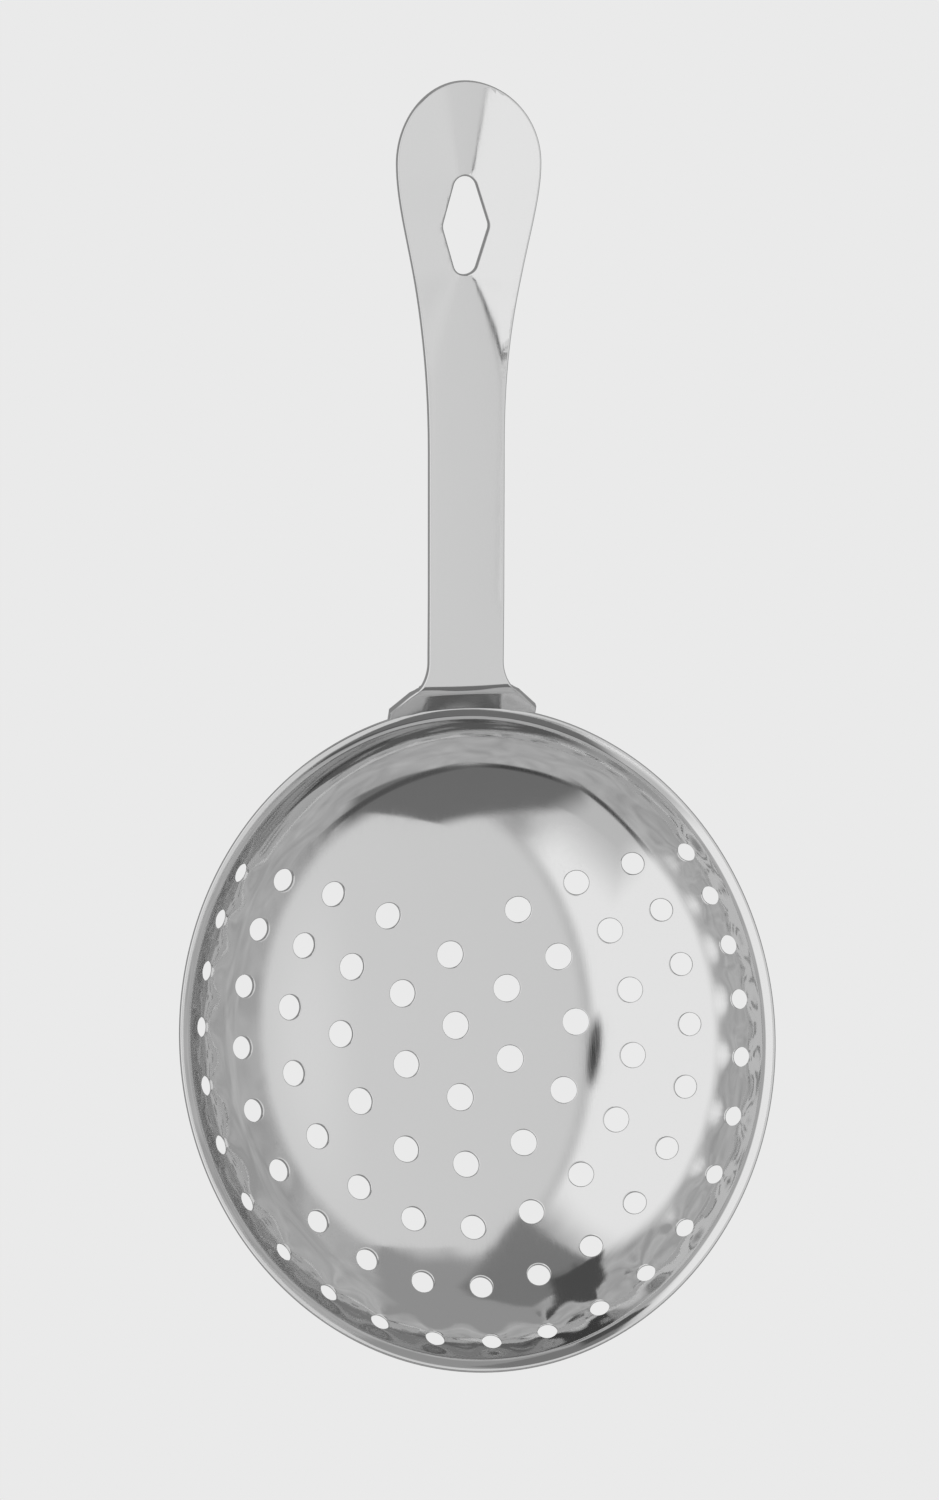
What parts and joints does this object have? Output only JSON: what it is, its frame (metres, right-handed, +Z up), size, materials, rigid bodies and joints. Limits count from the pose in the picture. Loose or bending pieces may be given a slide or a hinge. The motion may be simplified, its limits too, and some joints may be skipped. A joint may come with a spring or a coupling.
{
  "type": "julep strainer",
  "caption": "Julep strainer: an oval, shallow, perforated bowl with a flat flared handle welded to its wall and a hanging slot in the handle's wide end.",
  "frame": {"origin": "lowest point of the bowl's underside, on the bowl's own vertical axis", "axes": "+Y along the handle towards its end, +X to the right, +Z up out of the bowl's open side; the rim's plane is level"},
  "size_m": [0.077, 0.16, 0.0389],
  "materials": {
    "bowl_steel": "polished",
    "handle_steel": "polished",
    "weld_steel": "fused, hidden"
  },
  "bodies": {
    "root": {"bowl": "bowl_steel", "handle": "handle_steel", "spot_welds": "weld_steel"}
  },
  "joints": []
}
